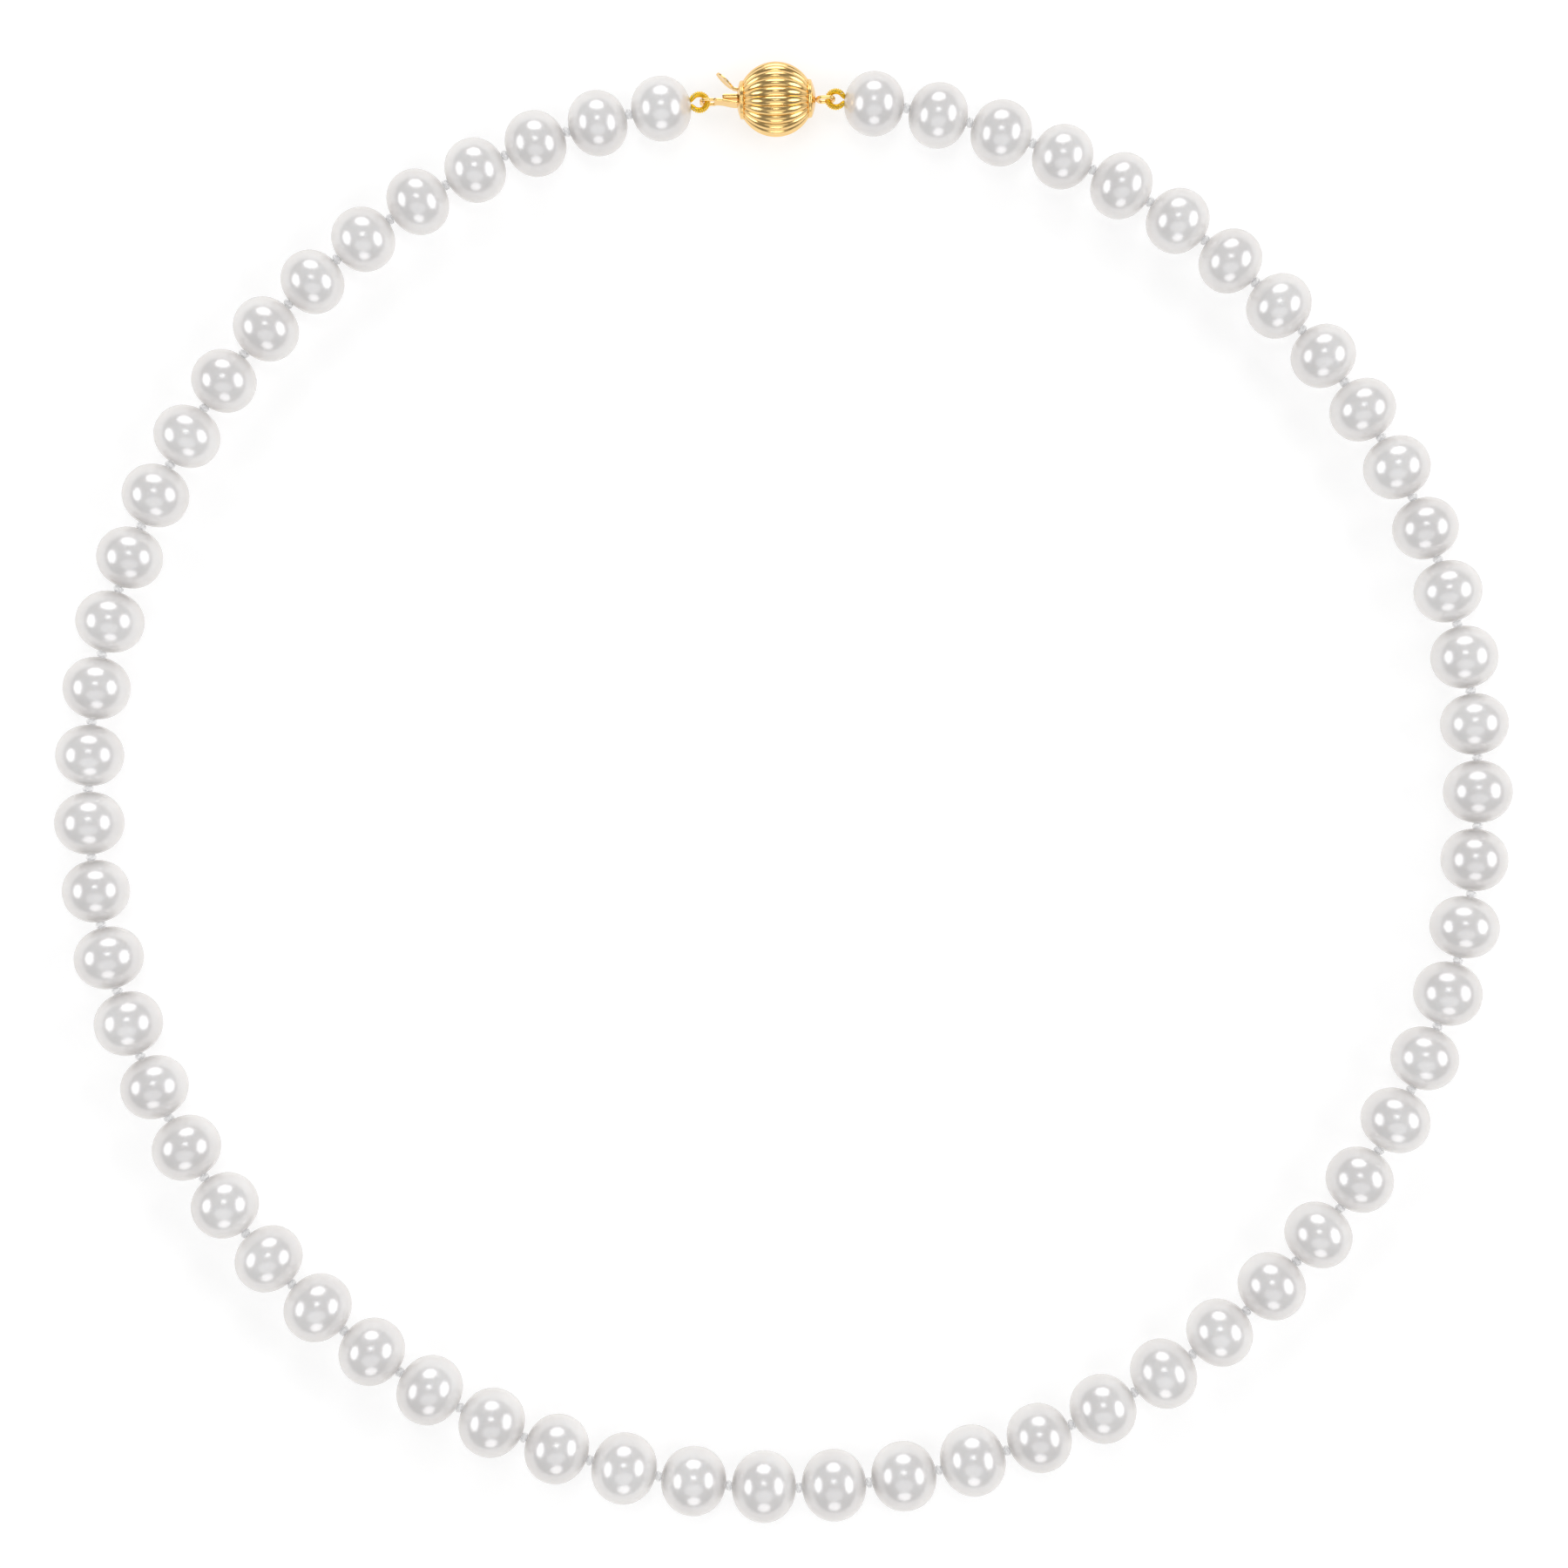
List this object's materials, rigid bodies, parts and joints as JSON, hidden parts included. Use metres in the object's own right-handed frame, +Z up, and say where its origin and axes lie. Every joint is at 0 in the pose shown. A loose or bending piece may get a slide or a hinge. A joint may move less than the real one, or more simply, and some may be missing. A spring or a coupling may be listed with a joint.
{
  "type": "pearl necklace",
  "caption": "Hand-knotted strand of round white pearls on silk, closed by a fluted gold ball clasp with a thumb-pressed tongue.",
  "frame": {"origin": "Centre of the closed loop's bounding box, on the plane that the pearls lie on.", "axes": "+Z up out of the loop's plane, +Y toward the clasp, +X toward the side that carries the ball."},
  "size_m": [0.1528, 0.153, 0.0079],
  "materials": {
    "pearl": "white nacre with a soft satin lustre",
    "silk": "white twisted silk, knotted by hand",
    "gold": "polished 14 karat yellow gold",
    "french_wire": "bright gilt coiled wire"
  },
  "bodies": {
    "centre": {"pearls_centre": "pearl", "silk_centre": "silk"},
    "right_10": {"pearls_right_10": "pearl", "silk_right_10": "silk"},
    "right_9": {"pearls_right_9": "pearl", "silk_right_9": "silk"},
    "right_8": {"pearls_right_8": "pearl", "silk_right_8": "silk"},
    "right_7": {"pearls_right_7": "pearl", "silk_right_7": "silk"},
    "right_6": {"pearls_right_6": "pearl", "silk_right_6": "silk"},
    "right_5": {"pearls_right_5": "pearl", "silk_right_5": "silk"},
    "right_4": {"pearls_right_4": "pearl", "silk_right_4": "silk"},
    "right_3": {"pearls_right_3": "pearl", "silk_right_3": "silk"},
    "right_2": {"pearls_right_2": "pearl", "silk_right_2": "silk"},
    "right_1": {"pearls_right_1": "pearl", "silk_right_1": "silk", "french_wire_right": "french_wire"},
    "left_10": {"pearls_left_10": "pearl", "silk_left_10": "silk"},
    "left_9": {"pearls_left_9": "pearl", "silk_left_9": "silk"},
    "left_8": {"pearls_left_8": "pearl", "silk_left_8": "silk"},
    "left_7": {"pearls_left_7": "pearl", "silk_left_7": "silk"},
    "left_6": {"pearls_left_6": "pearl", "silk_left_6": "silk"},
    "left_5": {"pearls_left_5": "pearl", "silk_left_5": "silk"},
    "left_4": {"pearls_left_4": "pearl", "silk_left_4": "silk"},
    "left_3": {"pearls_left_3": "pearl", "silk_left_3": "silk"},
    "left_2": {"pearls_left_2": "pearl", "silk_left_2": "silk"},
    "left_1": {"pearls_left_1": "pearl", "silk_left_1": "silk", "french_wire_left": "french_wire"},
    "ball": {"fluted_ball": "gold", "mouth_cap": "gold", "end_cap": "gold", "ball_ring": "gold"},
    "tongue": {"tongue": "gold", "safety_hook": "gold"},
    "spring_leaf": {"spring_leaf": "gold", "thumb_tab": "gold"}
  },
  "joints": [
    {"name": "strand_open", "type": "hinge", "parent": "centre", "child": "right_10", "pos_m": [0.00734, -0.07248, 0.00376], "axis": [0, 0, -1], "range_deg": [0, 6]},
    {"name": "right_9_bend", "type": "hinge", "parent": "right_10", "child": "right_9", "pos_m": [0.02869, -0.06696, 0.00372], "axis": [0, 0, -1], "range_deg": [0, 6]},
    {"name": "right_8_bend", "type": "hinge", "parent": "right_9", "child": "right_8", "pos_m": [0.04731, -0.0554, 0.0037], "axis": [0, 0, -1], "range_deg": [0, 6]},
    {"name": "right_7_bend", "type": "hinge", "parent": "right_8", "child": "right_7", "pos_m": [0.06156, -0.03895, 0.00369], "axis": [0, 0, -1], "range_deg": [0, 6]},
    {"name": "right_6_bend", "type": "hinge", "parent": "right_7", "child": "right_6", "pos_m": [0.07027, -0.01921, 0.00368], "axis": [0, 0, -1], "range_deg": [0, 6]},
    {"name": "right_5_bend", "type": "hinge", "parent": "right_6", "child": "right_5", "pos_m": [0.07282, 0.00202, 0.00365], "axis": [0, 0, -1], "range_deg": [0, 6]},
    {"name": "right_4_bend", "type": "hinge", "parent": "right_5", "child": "right_4", "pos_m": [0.06916, 0.02287, 0.00361], "axis": [0, 0, -1], "range_deg": [0, 6]},
    {"name": "right_3_bend", "type": "hinge", "parent": "right_4", "child": "right_3", "pos_m": [0.05977, 0.04165, 0.00356], "axis": [0, 0, -1], "range_deg": [0, 6]},
    {"name": "right_2_bend", "type": "hinge", "parent": "right_3", "child": "right_2", "pos_m": [0.04552, 0.05687, 0.00353], "axis": [0, 0, -1], "range_deg": [0, 6]},
    {"name": "right_1_bend", "type": "hinge", "parent": "right_2", "child": "right_1", "pos_m": [0.02768, 0.06739, 0.00352], "axis": [0, 0, -1], "range_deg": [0, 6]},
    {"name": "ball_eye_turn", "type": "hinge", "parent": "right_1", "child": "ball", "pos_m": [0.0069, 0.07243, 0.00399], "axis": [0, 0, -1], "range_deg": [-60, 0]},
    {"name": "left_10_bend", "type": "hinge", "parent": "centre", "child": "left_10", "pos_m": [-0.00734, -0.07248, 0.00376], "axis": [0, 0, 1], "range_deg": [0, 6]},
    {"name": "left_9_bend", "type": "hinge", "parent": "left_10", "child": "left_9", "pos_m": [-0.02869, -0.06696, 0.00372], "axis": [0, 0, 1], "range_deg": [0, 6]},
    {"name": "left_8_bend", "type": "hinge", "parent": "left_9", "child": "left_8", "pos_m": [-0.04731, -0.0554, 0.0037], "axis": [0, 0, 1], "range_deg": [0, 6]},
    {"name": "left_7_bend", "type": "hinge", "parent": "left_8", "child": "left_7", "pos_m": [-0.06156, -0.03895, 0.00369], "axis": [0, 0, 1], "range_deg": [0, 6]},
    {"name": "left_6_bend", "type": "hinge", "parent": "left_7", "child": "left_6", "pos_m": [-0.07027, -0.01921, 0.00368], "axis": [0, 0, 1], "range_deg": [0, 6]},
    {"name": "left_5_bend", "type": "hinge", "parent": "left_6", "child": "left_5", "pos_m": [-0.07282, 0.00202, 0.00365], "axis": [0, 0, 1], "range_deg": [0, 6]},
    {"name": "left_4_bend", "type": "hinge", "parent": "left_5", "child": "left_4", "pos_m": [-0.06916, 0.02287, 0.00361], "axis": [0, 0, 1], "range_deg": [0, 6]},
    {"name": "left_3_bend", "type": "hinge", "parent": "left_4", "child": "left_3", "pos_m": [-0.05977, 0.04165, 0.00356], "axis": [0, 0, 1], "range_deg": [0, 6]},
    {"name": "left_2_bend", "type": "hinge", "parent": "left_3", "child": "left_2", "pos_m": [-0.04552, 0.05687, 0.00353], "axis": [0, 0, 1], "range_deg": [0, 6]},
    {"name": "left_1_bend", "type": "hinge", "parent": "left_2", "child": "left_1", "pos_m": [-0.02768, 0.06739, 0.00352], "axis": [0, 0, 1], "range_deg": [0, 6]},
    {"name": "tongue_eye_turn", "type": "hinge", "parent": "left_1", "child": "tongue", "pos_m": [-0.0069, 0.07243, 0.00399], "axis": [0, 0, 1], "range_deg": [-60, 0]},
    {"name": "thumb_press", "type": "hinge", "parent": "tongue", "child": "spring_leaf", "pos_m": [0.002, 0.07237, 0.00401], "axis": [0, 0.2588, 0.9659], "range_deg": [0, 5.2], "stiffness_Nm_per_rad": 0.02}
  ],
  "couplings": [
    {"joint": "right_9_bend", "follows": "strand_open", "ratio": 1},
    {"joint": "right_8_bend", "follows": "strand_open", "ratio": 1},
    {"joint": "right_7_bend", "follows": "strand_open", "ratio": 1},
    {"joint": "right_6_bend", "follows": "strand_open", "ratio": 1},
    {"joint": "right_5_bend", "follows": "strand_open", "ratio": 1},
    {"joint": "right_4_bend", "follows": "strand_open", "ratio": 1},
    {"joint": "right_3_bend", "follows": "strand_open", "ratio": 1},
    {"joint": "right_2_bend", "follows": "strand_open", "ratio": 1},
    {"joint": "right_1_bend", "follows": "strand_open", "ratio": 1},
    {"joint": "ball_eye_turn", "follows": "strand_open", "ratio": -10},
    {"joint": "left_10_bend", "follows": "strand_open", "ratio": 1},
    {"joint": "left_9_bend", "follows": "strand_open", "ratio": 1},
    {"joint": "left_8_bend", "follows": "strand_open", "ratio": 1},
    {"joint": "left_7_bend", "follows": "strand_open", "ratio": 1},
    {"joint": "left_6_bend", "follows": "strand_open", "ratio": 1},
    {"joint": "left_5_bend", "follows": "strand_open", "ratio": 1},
    {"joint": "left_4_bend", "follows": "strand_open", "ratio": 1},
    {"joint": "left_3_bend", "follows": "strand_open", "ratio": 1},
    {"joint": "left_2_bend", "follows": "strand_open", "ratio": 1},
    {"joint": "left_1_bend", "follows": "strand_open", "ratio": 1},
    {"joint": "tongue_eye_turn", "follows": "strand_open", "ratio": -10}
  ]
}
